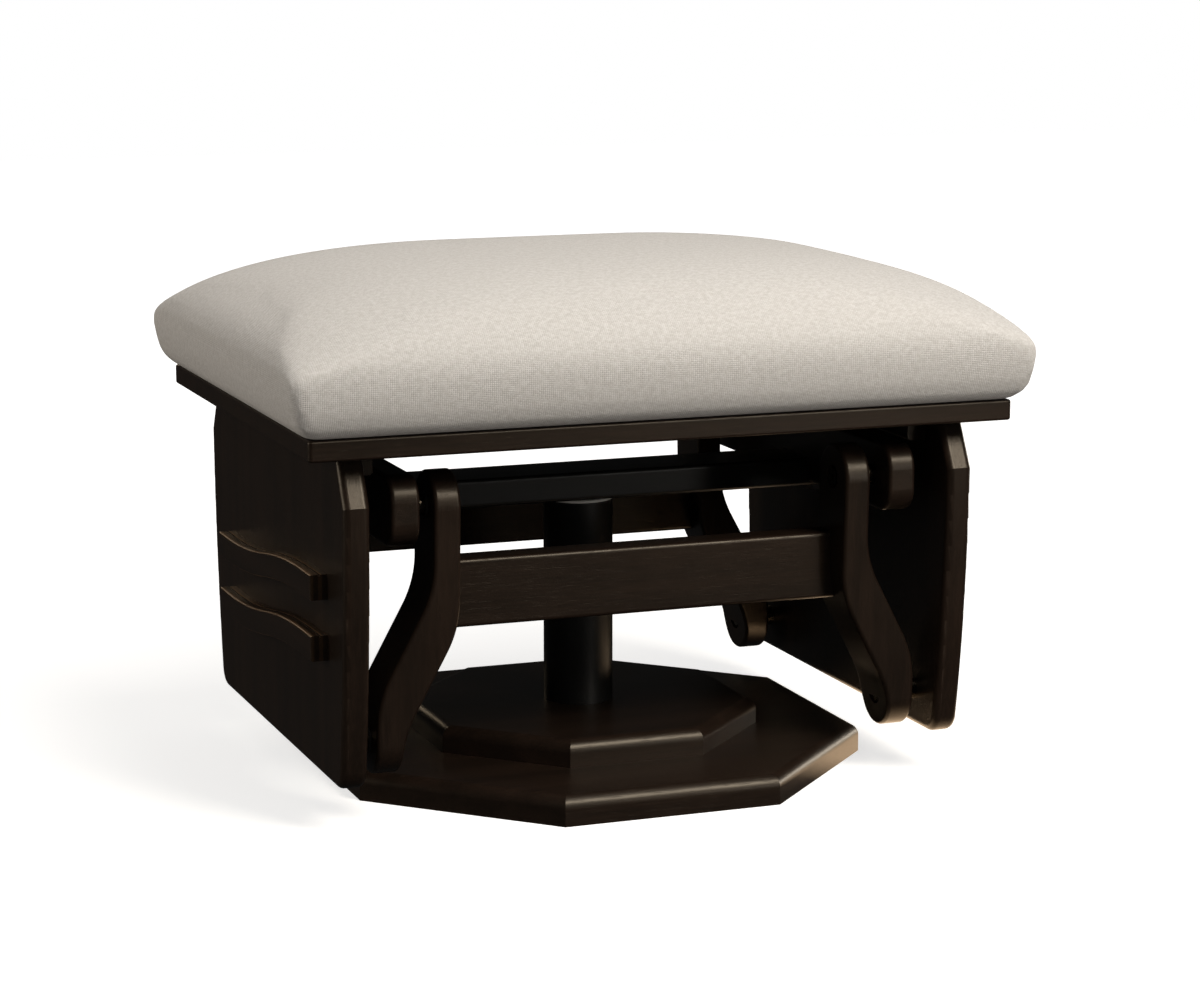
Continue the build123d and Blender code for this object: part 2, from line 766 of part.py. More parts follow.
with BuildPart() as side_panel_right:
    drop = panel_widest_half - panel_bottom_half
    fall = panel_widest_height - panel_bottom
    edge_radius = (fall**2 + drop**2) / (2 * drop)
    edge_bend = math.degrees(math.asin(fall / edge_radius))
    with BuildSketch(Plane.YZ.offset(panel_inner_x)) as panel_view:
        with BuildLine():
            Line((-panel_top_half, seat_underside), (panel_top_half, seat_underside))
            for end in (front, rear):
                shoulder = (end * panel_widest_half, panel_widest_height)
                Line((end * panel_top_half, seat_underside), shoulder)
                JernArc(shoulder, (0, -1), edge_radius, -end * edge_bend)
            Line((-panel_bottom_half, panel_bottom), (panel_bottom_half, panel_bottom))
        make_face()
        fillet(panel_view.vertices().group_by(Axis.Y)[0], panel_corner)
    extrude(amount=panel_thickness)
    rim = [
        edge
        for face in side_panel_right.faces().filter_by(Axis.X)
        for edge in face.edges()
        if edge.center().Z < seat_underside - panel_edge_round
    ]
    fillet(rim, panel_edge_round)
    for end in (front, rear):
        tube_x(
            panel_inner_x,
            panel_inner_x + insert_length + hole_end_gap,
            end * pivot_lower_y,
            pivot_lower_z,
            insert_radius + glue_fit,
            Mode.SUBTRACT,
        )
    for top in wave_tops.values():
        for y in wave_pin_ys:
            z = wave_height_at(y, top) - wave_height / 2
            pin_x = panel_outer_x - wave_pin_in_panel - hole_end_gap
            tube_x(pin_x, panel_outer_x, y, z, wave_pin_radius + glue_fit, Mode.SUBTRACT)
    for y in cleat_screw_ys:
        hole_x = panel_inner_x + cleat_screw_bite + hole_end_gap
        tube_x(panel_inner_x, hole_x, y, cleat_middle_z, small_screw_radius + glue_fit, Mode.SUBTRACT)
finish(side_panel_right, "side_panel_right")

with BuildPart() as side_panel_left:
    mirror(side_panel_right.part, about=Plane.YZ)
finish(side_panel_left, "side_panel_left")

for level, top in wave_tops.items():
    with BuildPart() as wave_right:
        wave_form(top)
    finish(wave_right, f"wave_right_{level}")

    with BuildPart() as wave_left:
        mirror(wave_right.part, about=Plane.YZ)
    finish(wave_left, f"wave_left_{level}")

with BuildPart() as wave_pins:
    for side in (-1, 1):
        for top in wave_tops.values():
            for y in wave_pin_ys:
                z = wave_height_at(y, top) - wave_height / 2
                pin_x = panel_outer_x - wave_pin_in_panel
                tube_x(side * pin_x, side * (pin_x + wave_pin_length), y, z, wave_pin_radius)
finish(wave_pins, "wave_pins")

# ---- seat board, cleats and their screws ---------------------------------------------

seat_screw_spots = [(side * cleat_middle_x, y) for side in (-1, 1) for y in seat_screw_ys]
cushion_screw_spots = [
    (side * cushion_screw_x, end * cushion_screw_y) for side in (-1, 1) for end in (front, rear)
]
cushion_screw_length = seat_board_thickness + cushion_board_thickness - hole_end_gap

with BuildPart() as seat_board:
    with BuildSketch(Plane.XY.offset(seat_underside)):
        RectangleRounded(seat_width, seat_depth, seat_corner)
    extrude(amount=seat_board_thickness)
    fillet(seat_board.faces().filter_by(Axis.Z).edges(), seat_edge_round)
    with BuildSketch(Plane.XY.offset(seat_underside)):
        with Locations(*seat_screw_spots):
            Circle(small_screw_radius + glue_fit)
    extrude(amount=seat_screw_bite + hole_end_gap, mode=Mode.SUBTRACT)
    for x, y in cushion_screw_spots:
        screw_form(
            (x, y, seat_underside),
            up,
            wood_screw_radius,
            wood_screw_head_radius,
            seat_board_thickness,
            glue_fit,
            Mode.SUBTRACT,
        )
finish(seat_board, "seat_board")

with BuildPart() as seat_cleat_right:
    with BuildSketch(Plane.YZ.offset(panel_inner_x)):
        with Locations((0, cleat_middle_z)):
            Rectangle(cleat_length, cleat_height)
    extrude(amount=-cleat_width)
    lower_edges = seat_cleat_right.edges().filter_by(Axis.Y).group_by(Axis.Z)[0]
    chamfer(lower_edges.sort_by(Axis.X)[0], cleat_chamfer)
    for y in cleat_screw_ys:
        screw_form(
            (cleat_inner_x, y, cleat_middle_z),
            (1, 0, 0),
            small_screw_radius,
            small_screw_head_radius,
            cleat_width,
            glue_fit,
            Mode.SUBTRACT,
        )
    for y in seat_screw_ys:
        screw_form(
            (cleat_middle_x, y, cleat_bottom),
            up,
            small_screw_radius,
            small_screw_head_radius,
            cleat_height,
            glue_fit,
            Mode.SUBTRACT,
        )
finish(seat_cleat_right, "seat_cleat_right")

with BuildPart() as seat_cleat_left:
    mirror(seat_cleat_right.part, about=Plane.YZ)
finish(seat_cleat_left, "seat_cleat_left")

with BuildPart() as cleat_screws:
    for side in (-1, 1):
        for y in cleat_screw_ys:
            screw_form(
                (side * cleat_inner_x, y, cleat_middle_z),
                (side, 0, 0),
                small_screw_radius,
                small_screw_head_radius,
                cleat_width + cleat_screw_bite,
            )
finish(cleat_screws, "cleat_screws")

with BuildPart() as seat_screws:
    for x, y in seat_screw_spots:
        screw_form(
            (x, y, cleat_bottom),
            up,
            small_screw_radius,
            small_screw_head_radius,
            cleat_height + seat_screw_bite,
        )
finish(seat_screws, "seat_screws")

# ---- cushion -------------------------------------------------------------------------

cushion_half_x = seat_width / 2 + cushion_overhang_x
cushion_half_y = seat_depth / 2 + cushion_overhang_y
board_half_x = cushion_half_x - cushion_foot_inset - cushion_board_inset
board_half_y = cushion_half_y - cushion_foot_inset - cushion_board_inset

# how full the crown is: a higher value keeps the sides upright for longer
crown_fullness = 3.47
crown_falloff = 2.09
crown_corner_limit = 0.96
crown_rise = cushion_rise - cushion_widest_height
crown_step = 10
crown_last_step = 80


def crown_section(angle):
    """Half width, half depth, corner radius and height of the crown, cut level at an angle
    that runs from the widest line (0) towards the middle of the top (90)."""
    reach = math.cos(math.radians(angle))
    level = 1 - reach**crown_fullness
    diagonal = (1 - math.sqrt(level)) ** (1 / crown_fullness)
    half_x = cushion_half_x * reach
    half_y = cushion_half_y * reach
    corner = (reach - diagonal) / (1 - math.sqrt(0.5)) * (cushion_half_x + cushion_half_y) / 2
    corner = min(max(corner, cushion_corner), crown_corner_limit * half_y)
    return half_x, half_y, corner, cushion_widest_height + crown_rise * level ** (1 / crown_falloff)


cushion_levels = [
    (
        cushion_half_x - cushion_foot_inset,
        cushion_half_y - cushion_foot_inset,
        cushion_foot_corner,
        0,
    ),
    (
        cushion_half_x - cushion_low_inset,
        cushion_half_y - cushion_low_inset,
        cushion_low_corner,
        cushion_low_height,
    ),
]
for angle in range(0, crown_last_step + crown_step, crown_step):
    cushion_levels.append(crown_section(angle))

with BuildPart() as cushion:
    for half_x, half_y, corner, rise in cushion_levels:
        with BuildSketch(Plane.XY.offset(seat_top + rise)):
            RectangleRounded(2 * half_x, 2 * half_y, corner)
    loft()
    # the underside lies flat on the seat board
    split(bisect_by=Plane.XY.offset(seat_top), keep=Keep.TOP)
    # hollow for the board that stiffens the cushion's underside
    with BuildSketch(Plane.XY.offset(seat_top)):
        Rectangle(2 * (board_half_x + soft_gap), 2 * (board_half_y + soft_gap))
    extrude(amount=cushion_board_thickness + soft_gap, mode=Mode.SUBTRACT)
finish(cushion, "cushion")

with BuildPart() as cushion_board:
    with BuildSketch(Plane.XY.offset(seat_top)):
        Rectangle(2 * board_half_x, 2 * board_half_y)
        with Locations(*cushion_screw_spots):
            Circle(wood_screw_radius + glue_fit, mode=Mode.SUBTRACT)
    extrude(amount=cushion_board_thickness)
finish(cushion_board, "cushion_board")

with BuildPart() as cushion_screws:
    for x, y in cushion_screw_spots:
        screw_form(
            (x, y, seat_underside),
            up,
            wood_screw_radius,
            wood_screw_head_radius,
            cushion_screw_length,
        )
finish(cushion_screws, "cushion_screws")
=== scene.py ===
import json
import math

import bmesh
import bpy
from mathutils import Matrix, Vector


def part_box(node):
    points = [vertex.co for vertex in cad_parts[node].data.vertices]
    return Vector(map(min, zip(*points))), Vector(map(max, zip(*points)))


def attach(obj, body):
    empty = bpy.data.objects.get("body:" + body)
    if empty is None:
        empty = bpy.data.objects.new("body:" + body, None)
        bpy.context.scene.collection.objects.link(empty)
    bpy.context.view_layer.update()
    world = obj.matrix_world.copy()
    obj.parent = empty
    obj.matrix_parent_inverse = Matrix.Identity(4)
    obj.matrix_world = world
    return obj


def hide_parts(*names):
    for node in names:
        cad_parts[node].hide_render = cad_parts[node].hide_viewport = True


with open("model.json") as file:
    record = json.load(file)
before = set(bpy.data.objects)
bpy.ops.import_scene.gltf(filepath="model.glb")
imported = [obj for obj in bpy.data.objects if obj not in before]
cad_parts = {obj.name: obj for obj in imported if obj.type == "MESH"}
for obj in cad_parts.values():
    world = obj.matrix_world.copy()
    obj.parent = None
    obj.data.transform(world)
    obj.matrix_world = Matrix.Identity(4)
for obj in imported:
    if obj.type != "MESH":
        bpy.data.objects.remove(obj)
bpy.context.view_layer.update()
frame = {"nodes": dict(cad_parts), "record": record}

# The looks of a glider ottoman: stained wood, black steel, plated and blackened hardware and
# a stuffed cushion in a heathered plain weave. Metres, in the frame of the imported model.

bl_info = {
    "name": "Glider ottoman looks",
    "version": (1, 0, 0),
    "blender": (4, 5, 0),
    "location": "3D View > Sidebar > Ottoman",
    "description": "Finishes, cushion, lamps and camera for a glider ottoman",
    "category": "Object",
}

NODES = frame["nodes"]
SLOT_OF = {part["node"]: part["material_slot"] for part in frame["record"]["subparts"]}
CUSHION_LOW, CUSHION_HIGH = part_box("cushion")
WHITE = (1.0, 1.0, 1.0)
FLOOR_WIDTH = 12.0


# ---- settings a user would change -------------------------------------------------------


class WoodSettings(bpy.types.PropertyGroup):
    """Stain, grain and lacquer of the wooden pieces"""

    dark: bpy.props.FloatVectorProperty(
        name="Dark stain", description="Colour between the grain lines",
        subtype="COLOR", size=3, default=(0.0096, 0.0062, 0.0046),
    )
    light: bpy.props.FloatVectorProperty(
        name="Light stain", description="Colour of the wood that took less stain",
        subtype="COLOR", size=3, default=(0.0262, 0.0150, 0.0102),
    )
    fibre: bpy.props.FloatProperty(
        name="Fibre width", description="Width of one fibre across the grain",
        unit="LENGTH", default=0.0012,
    )
    band: bpy.props.FloatProperty(
        name="Band width", description="Width of the growth bands across the grain",
        unit="LENGTH", default=0.016,
    )
    # A paler colour for the bent strips' layers, partly painted light on their flat faces and ends.
    layers_and_painted_light: bpy.props.FloatVectorProperty(
        name="Layered edge", description="Colour of the bent strips' edges and ends",
        subtype="COLOR", size=3, default=(0.20, 0.108, 0.052),
    )
    layer: bpy.props.FloatProperty(
        name="Layer thickness", description="Thickness of a layer in the bent strips",
        unit="LENGTH", default=0.0032,
    )
    roughness: bpy.props.FloatProperty(
        name="Lacquer roughness", description="Roughness of the satin lacquer", default=0.36,
    )
    pore_depth: bpy.props.FloatProperty(
        name="Pore depth", description="Depth of the open pores under the lacquer",
        unit="LENGTH", default=0.00008,
    )


class FabricSettings(bpy.types.PropertyGroup):
    """Colours and weave of the cushion's cover"""

    pale: bpy.props.FloatVectorProperty(
        name="Pale yarn", description="Colour of the pale fibres",
        subtype="COLOR", size=3, default=(0.765, 0.750, 0.741),
    )
    deep: bpy.props.FloatVectorProperty(
        name="Deep yarn", description="Colour of the darker fibres",
        subtype="COLOR", size=3, default=(0.59, 0.569, 0.548),
    )
    pitch: bpy.props.FloatProperty(
        name="Thread pitch", description="Distance from one thread to the next",
        unit="LENGTH", default=0.0015,
    )
    slub: bpy.props.FloatProperty(
        name="Slub length", description="Length over which a thread keeps its colour",
        unit="LENGTH", default=0.0042,
    )
    relief: bpy.props.FloatProperty(
        name="Weave relief", description="Height of the threads over the gaps between them",
        unit="LENGTH", default=0.00035,
    )


class CushionSettings(bpy.types.PropertyGroup):
    """Form and stuffing of the cushion"""

    fullness: bpy.props.FloatProperty(
        name="Fullness", description="How long the sides stay upright", default=3.47,
    )
    falloff: bpy.props.FloatProperty(
        name="Falloff", description="How soon the top levels out", default=2.09,
    )
    widest: bpy.props.FloatProperty(
        name="Widest height", description="Height of the widest line over the board",
        unit="LENGTH", default=0.041,
    )
    foot_inset: bpy.props.FloatProperty(
        name="Foot inset", description="How far the cover is drawn in at the board",
        unit="LENGTH", default=0.0175,
    )
    corner: bpy.props.FloatProperty(
        name="Corner radius", description="Corner radius at the widest line",
        unit="LENGTH", default=0.009,
    )
    spread: bpy.props.FloatProperty(
        name="Spread", description="Width and depth added on each side, which softening takes back",
        unit="LENGTH", default=0.0030,
    )
    bow: bpy.props.FloatProperty(
        name="Side bow", description="How far the sides' ends draw in from their middles",
        unit="LENGTH", default=0.001,
    )
    voxel: bpy.props.FloatProperty(
        name="Mesh size", description="Edge length of the cover's even mesh",
        unit="LENGTH", default=0.005,
    )
    shrink: bpy.props.FloatProperty(
        name="Slack before stuffing", description="Share of its size that the cover starts at",
        default=0.993,
    )
    pressure: bpy.props.FloatProperty(
        name="Stuffing pressure", description="Pressure of the stuffing on the cover", default=4.0,
    )
    frames: bpy.props.IntProperty(
        name="Settling frames", description="Frames that the cloth is given to settle", default=20,
    )
    travel: bpy.props.FloatProperty(
        name="Largest travel", description="Furthest that the stuffing may push the cover",
        unit="LENGTH", default=0.0025,
    )
    sag: bpy.props.FloatProperty(
        name="Largest sag", description="Furthest that the cover may sink inward",
        unit="LENGTH", default=0.0008,
    )
    fill: bpy.props.FloatProperty(
        name="Fill", description="How tight the cushion is, from slack to tight", default=0.85,
    )


class StageSettings(bpy.types.PropertyGroup):
    """Camera, lamps and floor"""

    azimuth: bpy.props.FloatProperty(
        name="Azimuth", description="Camera's turn to the left of the front", unit="ROTATION",
        default=math.radians(-20.51),
    )
    elevation: bpy.props.FloatProperty(
        name="Elevation", description="Camera's angle over the horizon", unit="ROTATION",
        default=math.radians(10.61),
    )
    distance: bpy.props.FloatProperty(
        name="Distance", description="Camera's distance from its target", unit="LENGTH",
        default=2.4736,
    )
    target: bpy.props.FloatVectorProperty(
        name="Target", description="Point in the middle of the picture", subtype="XYZ",
        unit="LENGTH", size=3, default=(0.01833, 0.0, 0.19774),
    )
    lens: bpy.props.FloatProperty(
        name="Focal length", description="Focal length on a 36 mm wide sensor, in millimetres",
        default=95.2,
    )
    top_power: bpy.props.FloatProperty(
        name="Top lamp", description="Power of the soft box overhead", unit="POWER", default=9.5,
    )
    key_power: bpy.props.FloatProperty(
        name="Key lamp", description="Power of the lamp at the front right", unit="POWER",
        default=36.0,
    )
    front_power: bpy.props.FloatProperty(
        name="Front lamp", description="Power of the tall strip lamp in front", unit="POWER",
        default=3.2,
    )
    side_power: bpy.props.FloatProperty(
        name="Side lamp", description="Power of the low lamp at the right", unit="POWER",
        default=8.0,
    )
    fill_power: bpy.props.FloatProperty(
        name="Fill lamp", description="Power of the soft lamp at the left", unit="POWER",
        default=10.5,
    )
    rim_power: bpy.props.FloatProperty(
        name="Rim lamp", description="Power of the narrow lamp behind at the left", unit="POWER",
        default=2.0,
    )
    sky: bpy.props.FloatProperty(
        name="Sky light", description="Brightness of the plain light from all round",
        default=0.21,
    )
    mirrored: bpy.props.FloatProperty(
        name="Mirrored white", description="How white the surroundings are in reflections",
        default=0.02,
    )
    floor: bpy.props.FloatVectorProperty(
        name="Floor colour", description="Colour of the pale floor", subtype="COLOR", size=3,
        default=(0.80, 0.80, 0.80),
    )
    bounce: bpy.props.FloatVectorProperty(
        name="Floor bounce", description="Colour of the light that the floor gives back",
        subtype="COLOR", size=3, default=(0.14, 0.135, 0.13),
    )
    # The warm pool is a painted glow on the floor that only reflections see, not a lamp.
    pool: bpy.props.FloatVectorProperty(
        name="Warm pool", description="Middle of the warm pool of light on the floor",
        subtype="XYZ", unit="LENGTH", size=3, default=(0.26, -0.05, 0.0),
    )
    painted_pool_colour: bpy.props.FloatVectorProperty(
        name="Pool colour", description="Light of the warm pool as the lacquer mirrors it",
        size=3, default=(2.8, 2.0, 1.27),
    )
    glow: bpy.props.FloatProperty(
        name="Floor glow", description="White added where the floor is seen", default=0.66,
    )


# ---- shader maths -----------------------------------------------------------------------


class Value:
    """A socket of a node tree. Arithmetic on it adds Math nodes."""

    def __init__(self, graph, socket):
        self.graph = graph
        self.socket = socket

    def math(self, operation, *others):
        inputs = dict(enumerate((self, *others)))
        return self.graph.node("ShaderNodeMath", {"operation": operation}, inputs)

    def __add__(self, other):
        return self.math("ADD", other)

    def __sub__(self, other):
        return self.math("SUBTRACT", other)

    def __rsub__(self, other):
        return (self * -1.0) + other

    def __mul__(self, other):
        return self.math("MULTIPLY", other)

    def __pow__(self, other):
        return self.math("POWER", other)

    def __abs__(self):
        return self.math("ABSOLUTE")

    def __gt__(self, other):
        return self.math("GREATER_THAN", other)

    def sine(self):
        return self.math("SINE")

    def floor(self):
        return self.math("FLOOR")

    def either(self, other):
        return self.math("MAXIMUM", other)


class Graph:
    """A node tree that is filled by expressions."""

    def __init__(self, tree):
        self.tree = tree

    def node(self, kind, settings=None, inputs=None, output=0):
        """Add a node: its settings first, then its sockets' values or links."""
        made = self.tree.nodes.new(kind)
        for key, value in (settings or {}).items():
            if key == "stops":
                self.set_stops(made.color_ramp.elements, value)
            else:
                setattr(made, key, value)
        for key, value in (inputs or {}).items():
            self.feed(made.inputs[key], value)
        return Value(self, made.outputs[output])

    def set_stops(self, elements, stops):
        while len(elements) < len(stops):
            elements.new(1.0)
        for element, (position, shade) in zip(elements, stops):
            element.position = position
            element.color = (shade, shade, shade, 1.0)

    def feed(self, socket, value):
        if isinstance(value, Value):
            self.tree.links.new(value.socket, socket)
        elif isinstance(value, (int, float)):
            socket.default_value = value
        else:
            wanted = len(socket.default_value)
            socket.default_value = (*value, 1.0)[:wanted]

    def rays(self, *kinds):
        """1 for rays of any of these kinds, else 0."""
        found = self.node("ShaderNodeLightPath", output=kinds[0])
        for kind in kinds[1:]:
            found = found.either(self.node("ShaderNodeLightPath", output=kind))
        return found

    def blend_shaders(self, share, first, second):
        return self.node("ShaderNodeMixShader", {}, {0: share, 1: first, 2: second})

    def end_with(self, output, shader):
        self.feed(self.tree.nodes[output].inputs["Surface"], shader)


class Finish(Graph):
    """A procedural material: a Principled BSDF with the nodes that vary it."""

    def __init__(self, name, **constants):
        self.material = bpy.data.materials.new(name)
        self.material.use_nodes = True
        super().__init__(self.material.node_tree)
        self.shader = self.tree.nodes["Principled BSDF"]
        for key, value in constants.items():
            self.shader.inputs[key.replace("_", " ")].default_value = value

    def shade(self, name, value):
        self.feed(self.shader.inputs[name], value)

    def place(self):
        """Position on the piece in metres."""
        return self.node("ShaderNodeTexCoord", output="Object")

    def parts(self, vector):
        split = self.node("ShaderNodeSeparateXYZ", {}, {0: vector}).socket.node
        return [Value(self, socket) for socket in split.outputs]

    def vector(self, x, y, z):
        return self.node("ShaderNodeCombineXYZ", {}, {0: x, 1: y, 2: z})

    def stretch(self, vector, scale):
        settings = {"operation": "MULTIPLY"}
        return self.node("ShaderNodeVectorMath", settings, {0: vector, 1: scale})

    def noise(self, vector, size, detail=3.0, distortion=0.0):
        """Noise whose features are about as wide as size, in metres."""
        inputs = {"Vector": vector, "Scale": 1.0 / size, "Detail": detail}
        inputs["Distortion"] = distortion
        return self.node("ShaderNodeTexNoise", {}, inputs)

    def ramp(self, value, *stops):
        return self.node("ShaderNodeValToRGB", {"stops": stops}, {"Fac": value})

    def mix(self, share, low, high):
        """Blend two colours by a share from 0 to 1. The node's sockets 6 and 7 take colours,
        and its output 2 gives one."""
        settings = {"data_type": "RGBA", "clamp_factor": True}
        return self.node("ShaderNodeMix", settings, {0: share, 6: low, 7: high}, output=2)

    def bump(self, height, depth):
        """Raise the surface by height (0 to 1) times depth, in metres."""
        inputs = {"Strength": 1.0, "Distance": depth, "Height": height}
        self.shade("Normal", self.node("ShaderNodeBump", {}, inputs))


# ---- finishes ---------------------------------------------------------------------------

GRAIN_DRAW = 0.045  # a fibre is 1 / GRAIN_DRAW times as long as it is wide
GRAINS = {
    "x": (GRAIN_DRAW, 1.0, 1.0),
    "y": (1.0, GRAIN_DRAW, 1.0),
    "z": (1.0, 1.0, GRAIN_DRAW),
}
WOOD_CLOUD_WIDTH = 0.06
FIBRE_ROUGHNESS, CLOUD_ROUGHNESS = 0.10, 0.08
LACQUER_COAT, PORE_COAT_LOSS = 0.06, 0.04
WOOD_SPECULAR_TINT = (1.0, 0.88, 0.72, 1.0)
# Ramps, each from (position, shade) to (position, shade)
PORES = ((0.60, 0.0), (0.72, 1.0))
STAIN = ((0.38, 0.0), (0.68, 1.0))
LAYER_GAPS = ((0.0, 1.0), (0.35, 0.0))
# The next two pick a bent strip's flat faces and ends, which show their layers and painted light.
LAYERED_FLATS_AND_PAINTED_LIGHT = ((0.45, 0.0), (0.8, 1.0))
LAYERED_ENDS_AND_PAINTED_LIGHT = ((0.8, 0.0), (0.95, 0.3))
HEATHER = ((0.40, 0.0), (0.60, 1.0))


def wood_finish(settings, name, grain, bent=False):
    """Dark stain over a fine straight grain, under satin lacquer. The edges and ends of a
    bent strip show its layers, paler partly from less stain and partly as painted light."""
    finish = Finish(name, Specular_IOR_Level=0.42, Coat_Roughness=0.2)
    finish.shader.inputs["Specular Tint"].default_value = WOOD_SPECULAR_TINT
    along = finish.stretch(finish.place(), GRAINS[grain])
    fibres = finish.noise(along, settings.fibre, detail=4.0)
    bands = finish.noise(along, settings.band, detail=3.0, distortion=0.6)
    clouds = finish.noise(finish.place(), WOOD_CLOUD_WIDTH, detail=2.0)
    pores = finish.ramp(finish.noise(along, settings.fibre / 2, detail=2.0), *PORES)
    stain = finish.ramp(bands * 0.55 + fibres * 0.45, *STAIN)
    patchy = stain * 0.7 + clouds * 0.35
    colour = finish.mix(patchy, settings.dark, settings.light)
    colour = finish.mix(pores * 0.55, colour, settings.dark)
    if bent:
        x, _, _ = finish.parts(finish.place())
        _, forward, upward = finish.parts(finish.node("ShaderNodeTexCoord", output="Normal"))
        layers = finish.ramp((x * (math.pi / settings.layer)).sine(), *LAYER_GAPS)
        # Faces that face up or down, and the ends, take the paler layered colour: partly the
        # layers' own colour, partly painted light.
        ends = finish.ramp(abs(forward), *LAYERED_ENDS_AND_PAINTED_LIGHT)
        layers_and_painted_light = finish.ramp(abs(upward), *LAYERED_FLATS_AND_PAINTED_LIGHT) + ends
        edge = finish.mix(stain * 0.6 + layers * 0.6, settings.layers_and_painted_light, settings.dark)
        colour = finish.mix(layers_and_painted_light, colour, edge)
    finish.shade("Base Color", colour)
    smoothest = settings.roughness - (FIBRE_ROUGHNESS + CLOUD_ROUGHNESS) / 2
    finish.shade("Roughness", fibres * FIBRE_ROUGHNESS + clouds * CLOUD_ROUGHNESS + smoothest)
    finish.shade("Coat Weight", LACQUER_COAT - pores * PORE_COAT_LOSS)
    finish.bump(fibres * 0.35 - pores * 0.65, settings.pore_depth)
    return finish.material


THREAD_STEP = 0.37  # from one thread to the next in the noise, so that they differ
WEFT_OFFSET = 3.0  # between the weft's noise and the warp's
FLECK_WIDTH = 0.0009


def fabric_finish(settings):
    """A plain weave of heathered yarn that follows the top, turns down each side and runs on
    under the rounded foot."""
    finish = Finish("oatmeal_weave", Roughness=0.92, Specular_IOR_Level=0.12, Sheen_Weight=0.12)
    finish.shader.inputs["Sheen Roughness"].default_value = 0.6
    x, y, z = finish.parts(finish.place())
    normal = finish.node("ShaderNodeTexCoord", output="Normal")
    across, along, upward = finish.parts(normal)
    outward = (upward > 0.0) * 2.0 - 1.0
    end_side = abs(across) > abs(along)
    turn_x = ((across > 0.0) * -2.0 + 1.0) * end_side
    turn_y = ((along > 0.0) * -2.0 + 1.0) * (1.0 - end_side)
    u = x * outward + z * turn_x
    v = y * outward + z * turn_y
    warp = (u * (math.pi / settings.pitch)).sine()
    weft = (v * (math.pi / settings.pitch)).sine()
    over_under = (warp * weft) > 0.0
    # How high the threads stand at each point; besides the bump, it paints shade into the colour
    # below.
    crown = abs(warp * weft) ** 0.5
    warp_id = (u * (1.0 / settings.pitch)).floor() * THREAD_STEP
    weft_id = (v * (1.0 / settings.pitch)).floor() * THREAD_STEP
    slub = 1.0 / settings.slub
    warp_shade = finish.noise(finish.vector(warp_id, v * slub, 0.0), 1.0, detail=2.0)
    weft_shade = finish.noise(finish.vector(u * slub, weft_id, WEFT_OFFSET), 1.0, detail=2.0)
    yarn = warp_shade * over_under + weft_shade * (1.0 - over_under)
    flecks = finish.noise(finish.vector(u, v, 0.0), FLECK_WIDTH, detail=3.0)
    heather = finish.ramp(yarn * 0.85 + flecks * 0.15, *HEATHER)
    # Painted shade of the weave: the threads' crowns paler and the hollows between them darker, on
    # top of the yarn's own heather.
    shade = heather * 0.65 + crown * 0.35
    finish.shade("Base Color", finish.mix(shade, settings.deep, settings.pale))
    finish.bump(crown * 0.7 + flecks * 0.3, settings.relief)
    return finish.material


BLACK_COAT = ((0.005, 0.005, 0.0048), (0.010, 0.0099, 0.0094))
PEEL_WIDTH, PEEL_DEPTH = 0.0011, 0.00003
WEAR_WIDTH = 0.03


def black_steel_finish():
    """Satin black powder coat with a fine orange peel."""
    finish = Finish("black_steel_coat", Coat_Roughness=0.25, Specular_IOR_Level=0.35)
    place = finish.place()
    peel = finish.noise(place, PEEL_WIDTH, detail=2.0)
    wear = finish.noise(place, WEAR_WIDTH, detail=4.0)
    finish.shade("Base Color", finish.mix(wear, *BLACK_COAT))
    finish.shade("Roughness", wear * 0.12 + 0.40)
    finish.shade("Coat Weight", wear * 0.2 + 0.15)
    finish.bump(peel, PEEL_DEPTH)
    return finish.material


METAL_CLOUD_WIDTH = 0.006
SCRATCH_WIDTH, SCRATCH_DEPTH = 0.0004, 0.00002
SCRATCH_DRAW = (1.0, 0.08, 1.0)
# Name, darkest and palest colour, roughness
ZINC = ("zinc_plate", (0.42, 0.42, 0.43), (0.60, 0.60, 0.61), 0.34)
BRASS = ("insert_brass", (0.55, 0.40, 0.18), (0.75, 0.58, 0.30), 0.38)
BLACK_OXIDE = ("black_oxide", (0.09, 0.075, 0.056), (0.22, 0.185, 0.14), 0.26)


def metal_finish(name, low, high, roughness):
    """Bare or plated metal with fine scratches and clouding."""
    finish = Finish(name, Metallic=1.0)
    place = finish.place()
    clouds = finish.noise(place, METAL_CLOUD_WIDTH, detail=4.0)
    scratches = finish.noise(finish.stretch(place, SCRATCH_DRAW), SCRATCH_WIDTH, detail=2.0)
    finish.shade("Base Color", finish.mix(clouds, low, high))
    finish.shade("Roughness", clouds * 0.15 + scratches * 0.12 + (roughness - 0.13))
    finish.bump(scratches, SCRATCH_DEPTH)
    return finish.material


BLOOM_WIDTH = 0.004
MOULD_GRAIN_WIDTH, MOULD_GRAIN_DEPTH = 0.0007, 0.00003
BLACK_PLASTIC = ("black_bearing_plastic", (0.012, 0.012, 0.012), (0.022, 0.022, 0.021))
PALE_PLASTIC = ("pale_bearing_plastic", (0.60, 0.58, 0.53), (0.72, 0.70, 0.66))


def plastic_finish(name, low, high):
    """Bearing plastic with a moulded bloom."""
    finish = Finish(name, Specular_IOR_Level=0.4)
    place = finish.place()
    bloom = finish.noise(place, BLOOM_WIDTH, detail=3.0)
    finish.shade("Base Color", finish.mix(bloom, low, high))
    finish.shade("Roughness", bloom * 0.2 + 0.4)
    finish.bump(finish.noise(place, MOULD_GRAIN_WIDTH, detail=2.0), MOULD_GRAIN_DEPTH)
    return finish.material


PLY_THICKNESS = 0.0015
PLYWOOD_GRAIN_WIDTH, PLYWOOD_GRAIN_DEPTH = 0.003, 0.0001
PLYWOOD_FACE = ((0.42, 0.29, 0.17), (0.60, 0.46, 0.30))
PLYWOOD_CROSS_PLY = (0.30, 0.19, 0.11)


